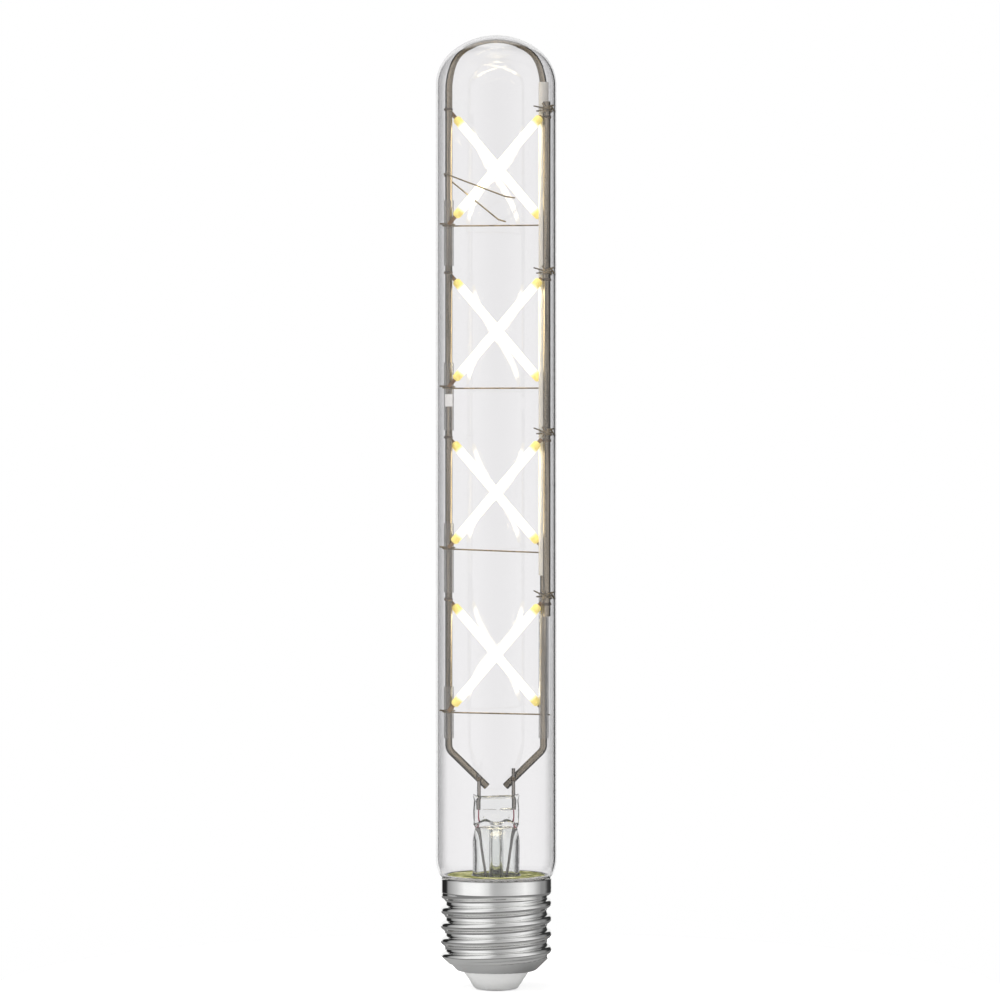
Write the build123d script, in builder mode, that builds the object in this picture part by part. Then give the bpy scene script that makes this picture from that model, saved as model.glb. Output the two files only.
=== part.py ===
from build123d import *
import os
from math import cos, radians, sin, sqrt, tan

os.makedirs("parts", exist_ok=True)

# Clear tubular LED filament lamp with an E27 screw cap, cap down, +Z up.
# The origin is on the lamp axis, on the lower face of the centre contact. The front is -Y.

# Glass envelope
overall_length = 225.0
glass_diameter = 28.5
glass_wall = 0.55
dome_crown_radius = 16.5
dome_corner_radius = 10.5
foot_curve_height = 4.7
foot_curve_inset = 0.75
foot_turn_height = 0.95
foot_turn_inset = 1.1
seal_radius = 11.6
seam_gap = 0.02
rim_gap = 0.1

# Screw cap
cap_height = 26.3
cap_sheet = 0.35
skirt_height = 3.4
skirt_step = 0.05
shoulder_drop = 1.0
shoulder_round = 0.45
thread_diameter = 26.2
thread_pitch = 3.629
thread_round = 1.025
thread_root_flat = 0.12
thread_low_z = 5.9
thread_stop_rise = 1.215
thread_inner_start = 1.125
thread_inner_stop = 0.875
ridge_foot_lift = 0.03
ridge_depth = 2.9
runout_drop = 0.15
runout_rise = 0.35
runout_gap = 0.1
cone_top_z = 7.75
cone_top_round = 1.5
cone_foot_radius = 9.3
cone_foot_z = 4.55
cone_foot_round = 0.8
shell_foot_z = 4.35
seat_gap = 0.05

# Insulator and centre contact
insulator_waist_radius = 7.65
insulator_waist_z = 4.1
insulator_foot_radius = 5.0
insulator_foot_z = 0.2
insulator_foot_round = 0.7
insulator_flange_width = 1.1
insulator_flange_height = 1.5
insulator_flange_round = 0.4
contact_radius = 3.6
contact_thickness = 0.5
contact_round = 0.18

# Cement and driver inside the cap
cement_bore_radius = 6.1
cement_thickness = 3.0
board_drop = 9.1
board_thickness = 1.0
board_gap = 0.2
package_height = 1.5
package_width = 3.9
package_chamfer = 0.25
package_leg = (0.5, 1.1, 0.4)
chip_length = 4.9
chip_leg_count = 4
chip_leg_pitch = 1.27
chip_place = (5.6, -4.6)
rectifier_length = 4.7
rectifier_leg_count = 2
rectifier_leg_pitch = 2.54
rectifier_place = (-5.2, 5.0)
capacitor_diameter = 6.3
capacitor_height = 7.5
capacitor_round = 0.5
capacitor_pin_pitch = 2.5
capacitor_place = (5.2, 3.6)
resistor_diameter = 2.3
resistor_length = 5.5
resistor_drop = 2.6
resistor_round = 0.4
hookup_diameter = 0.6
neutral_inset = 1.3
neutral_rise = 1.3
neutral_length = 4.2
neutral_bend = 0.7

# Pressed glass stem
flare_diameter = 11.1
flare_wall = 0.9
flare_height = 7.6
flare_foot_round = 1.4
neck_width = 10.1
neck_depth = 4.8
neck_rise = 3.6
pinch_width = 10.9
pinch_depth = 4.2
pinch_rise = 1.3
pinch_height = 7.4
pinch_dip = 0.9
pinch_round = 1.2
pinch_top_round = 0.4
cavity_slot_width = 9.2
cavity_slot_depth = 1.4
cavity_rise = 3.4
exhaust_diameter = 3.4
exhaust_wall = 0.65
exhaust_drop = 6.4
exhaust_tip_round = 1.5
blow_hole_diameter = 1.8
blow_hole_rise = 0.8

# Lead-in wires
lead_spacing = 8.14
lead_diameter = 0.84
lead_joint_drop = 3.7
left_lead_rise = 4.3
right_lead_rise = 5.8
seal_wire_diameter = 0.3
tail_diameter = 0.6
tail_spacing = 5.0
tail_bend_rise = 0.6
tail_bend_radius = 3.0
wire_fit = 0.02

# Support rods
rod_diameter = 1.7
frame_clearance = 2.5
arch_gap = 0.05
bend_rise = 8.9
bend_radius = 2.6
arm_end_x = 2.2
arm_end_rise = 1.4
joint_gap = 2.9
joint_drop = 3.1
common_rod_offset = 0.65
common_rod_foot_rise = 9.2
common_rod_top_drop = 0.95
weld_gap = 0.02

# Sleeves on the rods
sleeve_wall = 0.18
sleeve_fit = 0.15
sleeve_rise = 5.8
sleeve_gap = 1.6
return_sleeve_rise = 1.6
lower_sleeve_rise = 1.0
sleeve_break = 4.0

# LED filaments in four crosses
cross_count = 4
cross_shift = (0.4, 0.3, -0.1, 0.0)
top_cross_drop = 18.45
bottom_cross_rise = 22.2
filament_angle = 49.6
filament_tab = 1.78
filament_diameter = 2.0
filament_round = 0.75
strip_width = 0.9
strip_thickness = 0.2
strip_fit = 0.02
rear_clearance = 0.2
rear_tab_reach = 0.4

# Thin wires
thin_diameter = 0.36
turn_gap = 0.06
tie_rise = 1.3
tie_slack = 0.15
tie_bend = 0.95
tie_end = 1.2
wrap_bend = 1.15
wrap_end = 0.7
hook_end = 0.3
spring_drop = 1.7
spring_front_end = (4.4, -5.0, -7.6)
spring_back_end = (2.3, 3.4, -12.6)
spring_bend = 0.9

# Heights and radii that follow from the sizes above
glass_radius = glass_diameter / 2
foot_z = cap_height + rim_gap
corner_center_r = glass_radius - dome_corner_radius
crown_drop = sqrt((dome_crown_radius - dome_corner_radius) ** 2 - corner_center_r**2)
shoulder_z = overall_length - dome_crown_radius + crown_drop
crest_r = thread_diameter / 2
crest_center_r = crest_r - thread_round
root_center_r = crest_center_r + sqrt((2 * thread_round) ** 2 - (thread_pitch / 2) ** 2)
root_r = root_center_r - thread_round + thread_root_flat
cap_bore_r = root_r - cap_sheet
skirt_r = crest_r + skirt_step
skirt_z = cap_height - skirt_height
thread_stop_z = skirt_z + thread_stop_rise
thread_turns = int((thread_stop_z - thread_low_z) / thread_pitch)
thread_start_z = thread_stop_z - thread_turns * thread_pitch
thread_inner_turns = thread_turns - thread_inner_start - thread_inner_stop
board_z = cap_height - board_drop
board_top_z = board_z + board_thickness
flare_z = foot_z + flare_height
neck_z = flare_z + neck_rise
pinch_foot_z = neck_z + pinch_rise
pinch_top_z = pinch_foot_z + pinch_height
cavity_top_z = flare_z + cavity_rise
blow_hole_z = cavity_top_z + blow_hole_rise
exhaust_tip_z = foot_z - exhaust_drop
lead_x = lead_spacing / 2
lead_joint_z = pinch_top_z - lead_joint_drop
left_lead_top_z = pinch_top_z + left_lead_rise
right_lead_top_z = pinch_top_z + right_lead_rise
tail_bend_z = foot_z + tail_bend_rise
rod_r = rod_diameter / 2
frame_half_width = glass_radius - glass_wall - frame_clearance
common_rod_x = frame_half_width + common_rod_offset
arm_end_z = pinch_top_z + arm_end_rise
bend_z = arm_end_z + bend_rise
sleeve_bore_r = rod_r + sleeve_fit
sleeve_r = sleeve_bore_r + sleeve_wall
thin_r = thin_diameter / 2
arch_z = overall_length - glass_wall - arch_gap - rod_r - frame_half_width
common_rod_y = -sqrt((sleeve_r + rod_r + weld_gap) ** 2 - (common_rod_x - frame_half_width) ** 2)
front_depth = sleeve_r + thin_diameter + strip_thickness / 2 + 2 * weld_gap
rear_depth = front_depth + rear_clearance
rod_depth = rod_r + strip_thickness / 2 + weld_gap
slope = tan(radians(filament_angle))
filament_length = 2 * frame_half_width / cos(radians(filament_angle)) - 2 * filament_tab

# The arms lean back so that each one passes behind its lead wire and touches it
arm_run = frame_half_width - arm_end_x
lead_share = (frame_half_width - lead_x) / arm_run
weld_reach = rod_r + lead_diameter / 2 + weld_gap
arm_end_y = weld_reach * arm_run / sqrt((lead_share * arm_run) ** 2 - weld_reach**2)

# The crosses stand at an even pitch between the bends and the arch
top_cross_z = arch_z - top_cross_drop
bottom_cross_z = bend_z + bottom_cross_rise
common_rod_foot_z = bottom_cross_z + common_rod_foot_rise
cross_pitch = (top_cross_z - bottom_cross_z) / (cross_count - 1)
cross_z = [top_cross_z - cross_pitch * i for i in range(cross_count)]
front_tab_x = common_rod_x - rod_r - weld_gap - strip_width / 2 * sin(radians(filament_angle))
left_weld_z = [z + (frame_half_width + x) * slope for z, x in zip(cross_z, cross_shift)]
left_tie_z = [z - (frame_half_width + x) * slope for z, x in zip(cross_z, cross_shift)]
right_weld_z = [z + (front_tab_x - x) * slope for z, x in zip(cross_z, cross_shift)]
right_tab_x = frame_half_width + rear_tab_reach
right_tab_z = [z - (right_tab_x - x) * slope for z, x in zip(cross_z, cross_shift)]
tie_z = [z + tie_rise for z in right_weld_z]
joint_z = left_tie_z[1] - joint_drop


def save(part, node):
    part.label = node
    export_step(part, f"parts/{node}.step")


def bent_wire(points, diameter, bends):
    """Round wire along straight runs with rounded bends."""
    with BuildPart() as wire:
        with BuildLine() as route:
            FilletPolyline(*points, radius=bends)
        with BuildSketch(Plane(origin=route.line @ 0, z_dir=route.line % 0)):
            Circle(diameter / 2)
        sweep()
    return wire.part


def straight_wire(foot, height, diameter):
    """Round wire standing on the point foot."""
    with BuildPart(Plane(foot)) as wire:
        Cylinder(diameter / 2, height, align=(Align.CENTER, Align.CENTER, Align.MIN))
    return wire.part


def sleeve_tube(x, foot, top):
    """Thin glass tube slid over a rod that stands at x."""
    with BuildPart(Plane((x, 0, foot))) as tube:
        Cylinder(sleeve_r, top - foot, align=(Align.CENTER, Align.CENTER, Align.MIN))
        Cylinder(
            sleeve_bore_r,
            top - foot,
            align=(Align.CENTER, Align.CENTER, Align.MIN),
            mode=Mode.SUBTRACT,
        )
    return tube.part


# Glass envelope: straight tube, dome of a crown and a corner arc, foot curved in to the seal
with BuildPart() as glass_envelope:
    with BuildSketch(Plane.XZ):
        crown_share = dome_crown_radius / (dome_crown_radius - dome_corner_radius)
        crown_joint = (crown_share * corner_center_r, shoulder_z - crown_drop + crown_share * crown_drop)
        curve_end = (glass_radius - foot_curve_inset, foot_z + foot_turn_height)
        with BuildLine():
            foot_line = Line((0, foot_z), (curve_end[0] - foot_turn_inset, foot_z))
            wall_foot = (glass_radius, curve_end[1] + foot_curve_height - foot_turn_height)
            wall = Line((glass_radius, shoulder_z), wall_foot)
            foot_curve = TangentArc(wall @ 1, curve_end, tangent=wall % 1)
            TangentArc(foot_curve @ 1, foot_line @ 1, tangent=foot_curve % 1)
            RadiusArc(crown_joint, wall @ 0, dome_corner_radius)
            RadiusArc((0, overall_length), crown_joint, dome_crown_radius)
            Line((0, overall_length), (0, foot_z))
        make_face()
        mirror(about=Plane.YZ)
        offset(amount=-glass_wall, mode=Mode.SUBTRACT)
        Rectangle(
            glass_diameter,
            overall_length,
            align=(Align.MAX, Align.MIN),
            mode=Mode.SUBTRACT,
        )
        Rectangle(
            2 * (seal_radius + seam_gap),
            foot_z + 2 * glass_wall,
            align=(Align.CENTER, Align.MIN),
            mode=Mode.SUBTRACT,
        )
    revolve(axis=Axis.Z)
save(glass_envelope.part, "glass_envelope")


# Pressed stem: flare with a flat rim, pinch that holds the wires, exhaust tube with a blow hole
flare_r = flare_diameter / 2
flare_bore_r = flare_r - flare_wall
rim_top_z = foot_z + glass_wall
with BuildPart() as glass_stem:
    with BuildSketch(Plane.XZ):
        with BuildLine():
            FilletPolyline(
                (flare_bore_r, flare_z),
                (flare_bore_r, foot_z),
                (seal_radius, foot_z),
                (seal_radius, rim_top_z),
                (flare_r, rim_top_z),
                (flare_r, flare_z),
                radius=[flare_foot_round, 0, 0, flare_foot_round],
            )
            Line((flare_bore_r, flare_z), (flare_r, flare_z))
        make_face()
    revolve(axis=Axis.Z)
    with BuildSketch(Plane.XY.offset(flare_z)):
        Circle(flare_r)
    with BuildSketch(Plane.XY.offset(neck_z)):
        RectangleRounded(neck_width, neck_depth, pinch_round)
    loft()
    with BuildSketch(Plane.XY.offset(neck_z)):
        RectangleRounded(neck_width, neck_depth, pinch_round)
    with BuildSketch(Plane.XY.offset(pinch_foot_z)):
        RectangleRounded(pinch_width, pinch_depth, pinch_round)
    loft()
    with BuildSketch(Plane.XY.offset(pinch_foot_z)):
        RectangleRounded(pinch_width, pinch_depth, pinch_round)
    extrude(amount=pinch_height)
    with BuildSketch(Plane.XZ):
        with BuildLine():
            dip = ThreePointArc(
                (-pinch_width / 2, pinch_top_z),
                (0, pinch_top_z - pinch_dip),
                (pinch_width / 2, pinch_top_z),
            )
            Line(dip @ 0, dip @ 1)
        make_face()
    extrude(amount=pinch_depth, both=True, mode=Mode.SUBTRACT)
    fillet(glass_stem.faces().sort_by(Axis.Z)[-1].edges(), pinch_top_round)
    with BuildSketch(Plane.XY.offset(flare_z)):
        Circle(flare_bore_r)
    with BuildSketch(Plane.XY.offset(cavity_top_z)):
        Ellipse(cavity_slot_width / 2, cavity_slot_depth / 2)
    loft(mode=Mode.SUBTRACT)
    with BuildSketch(Plane.XZ):
        with BuildLine():
            FilletPolyline(
                (0, cavity_top_z),
                (exhaust_diameter / 2, cavity_top_z),
                (exhaust_diameter / 2, exhaust_tip_z),
                (0, exhaust_tip_z),
                radius=[0, exhaust_tip_round],
            )
            Line((0, cavity_top_z), (0, exhaust_tip_z))
        make_face()
    revolve(axis=Axis.Z)
    with BuildSketch(Plane.XY.offset(exhaust_tip_z + 2 * exhaust_wall)):
        Circle(exhaust_diameter / 2 - exhaust_wall)
    extrude(amount=blow_hole_z - exhaust_tip_z - 2 * exhaust_wall, mode=Mode.SUBTRACT)
    with BuildSketch(Plane.XZ):
        with Locations((0, blow_hole_z)):
            Circle(blow_hole_diameter / 2)
    extrude(amount=pinch_depth, mode=Mode.SUBTRACT)
    for bore, foot, top in (
        (seal_wire_diameter, cavity_top_z, lead_joint_z),
        (lead_diameter, lead_joint_z, pinch_top_z),
    ):
        with BuildSketch(Plane.XY.offset(foot)):
            with Locations((-lead_x, 0), (lead_x, 0)):
                Circle(bore / 2 + wire_fit)
        extrude(amount=top - foot, mode=Mode.SUBTRACT)
save(glass_stem.part, "glass_stem")


# Lead-in wires: nickel lead, copper-clad seal wire and tail, welded end to end on each side
for side, sign, lead_top in (("left", -1, left_lead_top_z), ("right", 1, right_lead_top_z)):
    lead_foot = (sign * lead_x, 0, lead_joint_z)
    seal_foot = (sign * lead_x, 0, cavity_top_z)
    tail_x = sign * tail_spacing / 2
    save(straight_wire(lead_foot, lead_top - lead_joint_z, lead_diameter), f"{side}_lead_wire")
    save(straight_wire(seal_foot, lead_joint_z - cavity_top_z, seal_wire_diameter), f"{side}_seal_wire")
    tail_route = [seal_foot, (tail_x, 0, tail_bend_z), (tail_x, 0, board_z)]
    save(bent_wire(tail_route, tail_diameter, tail_bend_radius), f"{side}_tail_wire")


# Left rod: welded arm, bend and straight leg up to the glass joint
left_support_rod = bent_wire(
    [
        (-arm_end_x, arm_end_y, arm_end_z),
        (-frame_half_width, 0, bend_z),
        (-frame_half_width, 0, joint_z - joint_gap / 2),
    ],
    rod_diameter,
    bend_radius,
)
save(left_support_rod, "left_support_rod")

# Hoop: one rod from the glass joint over the dome and down the right side to its arm
with BuildPart() as hoop_support_rod:
    with BuildLine() as hoop_route:
        left_leg = Line((-frame_half_width, 0, joint_z + joint_gap / 2), (-frame_half_width, 0, arch_z))
        ThreePointArc(
            left_leg @ 1,
            (0, 0, arch_z + frame_half_width),
            (frame_half_width, 0, arch_z),
        )
        FilletPolyline(
            (frame_half_width, 0, arch_z),
            (frame_half_width, 0, bend_z),
            (arm_end_x, arm_end_y, arm_end_z),
            radius=bend_radius,
        )
    with BuildSketch(Plane(left_leg @ 0)):
        Circle(rod_r)
    sweep()
save(hoop_support_rod.part, "hoop_support_rod")

# Common rod: straight rod tied in front of the right leg
common_rod_foot = (common_rod_x, common_rod_y, common_rod_foot_z)
common_rod_length = arch_z - common_rod_top_drop - common_rod_foot_z
save(straight_wire(common_rod_foot, common_rod_length, rod_diameter), "common_rod")


# Sleeves: one at the foot of each cross on the left, a long and a short one on the right leg
bend_top_z = bend_z + bend_radius
for i in range(cross_count):
    next_weld_z = left_weld_z[i + 1] if i + 1 < cross_count else bend_top_z - sleeve_gap
    left_sleeve = sleeve_tube(-frame_half_width, next_weld_z + sleeve_gap, left_tie_z[i] + sleeve_rise)
    save(left_sleeve, f"left_sleeve_{i + 1}")
lower_sleeve_top_z = tie_z[-1] + lower_sleeve_rise
return_sleeve_foot_z = lower_sleeve_top_z + sleeve_break
save(sleeve_tube(frame_half_width, return_sleeve_foot_z, arch_z + return_sleeve_rise), "return_sleeve")
save(sleeve_tube(frame_half_width, bend_top_z, lower_sleeve_top_z), "lower_sleeve")


# Phosphor coat of a filament: rounded bar with a slot for the strip
with BuildPart() as coat:
    Cylinder(filament_diameter / 2, filament_length, rotation=(0, 90, 0))
    fillet(coat.edges().filter_by(GeomType.CIRCLE), filament_round)
    Box(
        2 * filament_length,
        strip_width + 2 * strip_fit,
        strip_thickness + 2 * strip_fit,
        mode=Mode.SUBTRACT,
    )

# Filaments: in each cross the first falls to the right behind the rods, the second rises in front
for i in range(cross_count):
    falling = (
        Vector(-frame_half_width, rod_depth, left_weld_z[i]),
        Vector(right_tab_x, rear_depth, right_tab_z[i]),
    )
    rising = (
        Vector(-frame_half_width, -front_depth, left_tie_z[i]),
        Vector(front_tab_x, common_rod_y, right_weld_z[i]),
    )
    for letter, (left_end, right_end) in zip("ab", (falling, rising)):
        run = right_end - left_end
        along = run.normalized()
        facing = Vector(0, -1, 0) - along * Vector(0, -1, 0).dot(along)
        middle = left_end + run * 0.5
        crossing = left_end + run * ((frame_half_width + cross_shift[i]) / run.X)
        with BuildPart(Plane(middle, x_dir=along, z_dir=facing)) as strip:
            Box(run.length, strip_width, strip_thickness)
        save(strip.part, f"strip_{i + 1}{letter}")
        coat_plane = Plane(crossing, x_dir=along, z_dir=facing)
        save(coat.part.moved(coat_plane.location), f"phosphor_{i + 1}{letter}")


# Cross wires: wound on the left sleeve, straight across, hooked behind the right sleeve
wrap_r = sleeve_r + thin_r + weld_gap
turn = thin_diameter + turn_gap
quarter = turn / 4
for i in range(cross_count):
    top = left_tie_z[i] + turn / 2
    hook_z = right_tab_z[i] - turn
    cross_route = [
        (-frame_half_width - wrap_r - wrap_end, -wrap_r, top),
        (-frame_half_width + wrap_r, -wrap_r, top - quarter),
        (-frame_half_width + wrap_r, wrap_r, top - 2 * quarter),
        (-frame_half_width - wrap_r, wrap_r, top - 3 * quarter),
        (-frame_half_width - wrap_r, -wrap_r, top - 4 * quarter),
        (-frame_half_width + wrap_r, -wrap_r, top - 5 * quarter),
        (frame_half_width - wrap_r, wrap_r, hook_z),
        (frame_half_width + wrap_r, wrap_r, hook_z),
        (frame_half_width + wrap_r, -hook_end, hook_z),
    ]
    save(bent_wire(cross_route, thin_diameter, wrap_bend), f"cross_wire_{i + 1}")


# Tie wires: two turns round the right sleeve and the common rod, with both ends left free
pair_direction = Vector(common_rod_x - frame_half_width, common_rod_y, 0)
pair_distance = pair_direction.length
for i in range(cross_count):
    pair_plane = Plane((frame_half_width, 0, tie_z[i]), x_dir=pair_direction, z_dir=(0, 0, 1))
    near_r = wrap_r + tie_slack
    far_r = rod_r + thin_r + weld_gap
    far_x = pair_distance + far_r
    tie_corners = [
        (-near_r - tie_end, -near_r),
        (far_x, -far_r),
        (far_x, far_r),
        (-near_r, near_r),
        (-near_r, -near_r),
        (far_x, -far_r),
        (far_x, far_r),
        (-near_r - tie_end, near_r),
    ]
    tie_route = [(x, y, turn - k * quarter) for k, (x, y) in enumerate(tie_corners)]
    tie_points = [pair_plane.from_local_coords(point) for point in tie_route]
    save(bent_wire(tie_points, thin_diameter, tie_bend), f"tie_wire_{i + 1}")


# Spring wire: hooked round the left leg, one end in front of the top cross and one behind
spring_r = rod_r + thin_r + weld_gap
spring_z = top_cross_z - spring_drop
spring_route = [
    Vector(*spring_front_end) + Vector(0, 0, top_cross_z),
    (-frame_half_width - spring_r, -spring_r, spring_z + turn / 2),
    (-frame_half_width - spring_r, spring_r, spring_z - turn / 2),
    Vector(*spring_back_end) + Vector(0, 0, top_cross_z),
]
save(bent_wire(spring_route, thin_diameter, spring_bend), "spring_wire")


def thread_ridge(inset, first_turn, turns):
    """Helical ridge of the knuckle thread: crest arc between two root arcs, set in by inset."""
    crest_round = thread_round - inset
    root_round = thread_round + inset
    ridge_foot_r = root_center_r - root_round + ridge_foot_lift
    ridge_back_r = ridge_foot_r - ridge_depth
    share = crest_round / (2 * thread_round)
    joint_r = crest_center_r + share * (root_center_r - crest_center_r)
    joint_half = share * thread_pitch / 2
    foot_half = thread_pitch / 2 - sqrt(root_round**2 - (root_round - ridge_foot_lift) ** 2)
    with BuildPart() as ridge:
        with BuildLine():
            Helix(thread_pitch, turns * thread_pitch, crest_center_r, center=(0, 0, thread_start_z))
        with BuildSketch(Plane((0, 0, thread_start_z), x_dir=(1, 0, 0), z_dir=(0, -1, 0))):
            with BuildLine():
                RadiusArc((ridge_foot_r, -foot_half), (joint_r, -joint_half), root_round)
                ThreePointArc((joint_r, -joint_half), (crest_r - inset, 0), (joint_r, joint_half))
                RadiusArc((joint_r, joint_half), (ridge_foot_r, foot_half), root_round)
                Polyline(
                    (ridge_foot_r, foot_half),
                    (ridge_back_r, foot_half),
                    (ridge_back_r, -foot_half),
                    (ridge_foot_r, -foot_half),
                )
            make_face()
        sweep(is_frenet=True)
    return ridge.part.moved(Location((0, 0, first_turn * thread_pitch), (0, 0, 360 * first_turn)))


# Outer thread ridge, run out into the cone
with BuildPart() as outer_ridge:
    with BuildSketch(Plane.XZ):
        with BuildLine():
            Polyline(
                (0, cone_foot_z - runout_drop),
                (cone_foot_radius, cone_foot_z - runout_drop),
                (crest_r + runout_gap, cone_top_z + runout_rise),
                (crest_r + runout_gap, cap_height),
                (0, cap_height),
                close=True,
            )
        make_face()
    revolve(axis=Axis.Z)
    add(thread_ridge(0, 0, thread_turns), mode=Mode.INTERSECT)

# Screw shell: drawn sheet with a plain skirt, a rolled round thread and a coned foot
insulator_opening = insulator_waist_radius + seat_gap
skirt_bore_r = skirt_r - cap_sheet
with BuildPart() as screw_shell:
    with BuildSketch(Plane.XZ) as shell_section:
        with BuildLine():
            FilletPolyline(
                (0, shell_foot_z),
                (cone_foot_radius, cone_foot_z),
                (root_r, cone_top_z),
                (root_r, skirt_z - shoulder_drop),
                (skirt_r, skirt_z),
                (skirt_r, cap_height),
                (0, cap_height),
                radius=[cone_foot_round, cone_top_round, shoulder_round, shoulder_round, 0],
            )
            Line((0, cap_height), (0, shell_foot_z))
        make_face()
    revolve(axis=Axis.Z)
    add(outer_ridge.part)
with BuildPart() as shell_inside:
    with BuildSketch(Plane.XZ):
        add(shell_section.sketch)
        offset(amount=-cap_sheet, mode=Mode.REPLACE)
        Rectangle(insulator_opening, cap_height, align=(Align.MIN, Align.MIN))
        with Locations((0, cap_height)):
            Rectangle(skirt_bore_r, skirt_height / 2, align=(Align.MIN, Align.MAX))
    revolve(axis=Axis.Z)
    add(thread_ridge(cap_sheet, thread_inner_start, thread_inner_turns))
with screw_shell:
    add(shell_inside.part, mode=Mode.SUBTRACT)
save(screw_shell.part, "screw_shell")


# Insulator: moulded cone under the shell's lip, with a flange above it and a seat for the contact
lip_top_z = shell_foot_z + (cone_foot_z - shell_foot_z) + cap_sheet
flange_foot_z = lip_top_z + seat_gap
flange_top_z = flange_foot_z + insulator_flange_height
live_hole_r = hookup_diameter / 2 + wire_fit
with BuildPart() as insulator:
    with BuildSketch(Plane.XZ):
        with BuildLine():
            FilletPolyline(
                (live_hole_r, contact_thickness + weld_gap),
                (contact_radius + seat_gap, contact_thickness + weld_gap),
                (contact_radius + seat_gap, insulator_foot_z),
                (insulator_foot_radius, insulator_foot_z),
                (insulator_waist_radius, insulator_waist_z),
                (insulator_waist_radius, flange_foot_z),
                (insulator_waist_radius + insulator_flange_width, flange_foot_z),
                (insulator_waist_radius + insulator_flange_width, flange_top_z),
                (live_hole_r, flange_top_z),
                radius=[0, 0, insulator_foot_round, 0, 0, 0, insulator_flange_round],
            )
            Line((live_hole_r, flange_top_z), (live_hole_r, contact_thickness + weld_gap))
        make_face()
    revolve(axis=Axis.Z)
save(insulator.part, "insulator")

# Centre contact: round plate with a rounded lower edge
with BuildPart() as centre_contact:
    Cylinder(contact_radius, contact_thickness, align=(Align.CENTER, Align.CENTER, Align.MIN))
    fillet(centre_contact.faces().sort_by(Axis.Z)[0].edges(), contact_round)
save(centre_contact.part, "centre_contact")

# Basing cement: ring that bonds the glass foot into the skirt
with BuildPart(Plane.XY.offset(foot_z - seam_gap)) as basing_cement:
    cement_radius = skirt_bore_r - seat_gap
    Cylinder(cement_radius, cement_thickness, align=(Align.CENTER, Align.CENTER, Align.MAX))
    Cylinder(
        cement_bore_radius,
        cement_thickness,
        align=(Align.CENTER, Align.CENTER, Align.MAX),
        mode=Mode.SUBTRACT,
    )
save(basing_cement.part, "basing_cement")


# Driver board: round board with holes for every wire and pin
board_r = cap_bore_r - board_gap
neutral_r = board_r - neutral_inset
capacitor_pins = [
    (capacitor_place[0] - capacitor_pin_pitch / 2, capacitor_place[1]),
    (capacitor_place[0] + capacitor_pin_pitch / 2, capacitor_place[1]),
]
tail_places = [(-tail_spacing / 2, 0), (tail_spacing / 2, 0)]
hookup_places = [(0, 0), (0, neutral_r)] + capacitor_pins
with BuildPart() as driver_board:
    with BuildSketch(Plane.XY.offset(board_z)):
        Circle(board_r)
        with Locations(*tail_places):
            Circle(tail_diameter / 2 + wire_fit, mode=Mode.SUBTRACT)
        with Locations(*hookup_places):
            Circle(hookup_diameter / 2 + wire_fit, mode=Mode.SUBTRACT)
    extrude(amount=board_thickness)
save(driver_board.part, "driver_board")

# Chip and rectifier: moulded packages with a row of legs on each long side
for node, length, place, leg_count, leg_pitch in (
    ("driver_chip", chip_length, chip_place, chip_leg_count, chip_leg_pitch),
    ("bridge_rectifier", rectifier_length, rectifier_place, rectifier_leg_count, rectifier_leg_pitch),
):
    with BuildPart(Plane((place[0], place[1], board_top_z + weld_gap))) as package:
        Box(length, package_width, package_height, align=(Align.CENTER, Align.CENTER, Align.MIN))
        chamfer(package.faces().sort_by(Axis.Z)[-1].edges(), package_chamfer)
        with GridLocations(leg_pitch, package_width + package_leg[1], leg_count, 2):
            Box(*package_leg, align=(Align.CENTER, Align.CENTER, Align.MIN))
    save(package.part, node)

# Smoothing capacitor: round can under the board with two pins through it
with BuildPart(Plane((capacitor_place[0], capacitor_place[1], board_z - weld_gap))) as smoothing_capacitor:
    Cylinder(
        capacitor_diameter / 2,
        capacitor_height,
        align=(Align.CENTER, Align.CENTER, Align.MAX),
    )
    fillet(smoothing_capacitor.edges().filter_by(GeomType.CIRCLE), capacitor_round)
    with GridLocations(capacitor_pin_pitch, 0, 2, 1):
        Cylinder(
            hookup_diameter / 2,
            board_thickness + 2 * weld_gap,
            align=(Align.CENTER, Align.CENTER, Align.MIN),
        )
save(smoothing_capacitor.part, "smoothing_capacitor")

# Fuse resistor: upright on the axis, its upper lead through the board
with BuildPart(Plane.XY.offset(board_z - resistor_drop)) as fuse_resistor:
    Cylinder(
        resistor_diameter / 2,
        resistor_length,
        align=(Align.CENTER, Align.CENTER, Align.MAX),
    )
    fillet(fuse_resistor.edges().filter_by(GeomType.CIRCLE), resistor_round)
    Cylinder(
        hookup_diameter / 2,
        resistor_drop + board_thickness,
        align=(Align.CENTER, Align.CENTER, Align.MIN),
    )
save(fuse_resistor.part, "fuse_resistor")

# Live wire from the resistor to the contact, neutral wire from the board to the shell wall
live_foot_z = contact_thickness + weld_gap
live_top_z = board_z - resistor_drop - resistor_length - weld_gap
save(straight_wire((0, 0, live_foot_z), live_top_z - live_foot_z, hookup_diameter), "live_wire")
neutral_end_r = cap_bore_r - hookup_diameter / 2 - weld_gap
neutral_route = [
    (0, neutral_r, board_z),
    (0, neutral_r, board_top_z + neutral_rise),
    (0, neutral_end_r, board_top_z + 2 * neutral_rise),
    (0, neutral_end_r, board_top_z + neutral_length),
]
save(bent_wire(neutral_route, hookup_diameter, neutral_bend), "neutral_wire")
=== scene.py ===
import math

import bmesh
import bpy
from mathutils import Matrix, Vector


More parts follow.
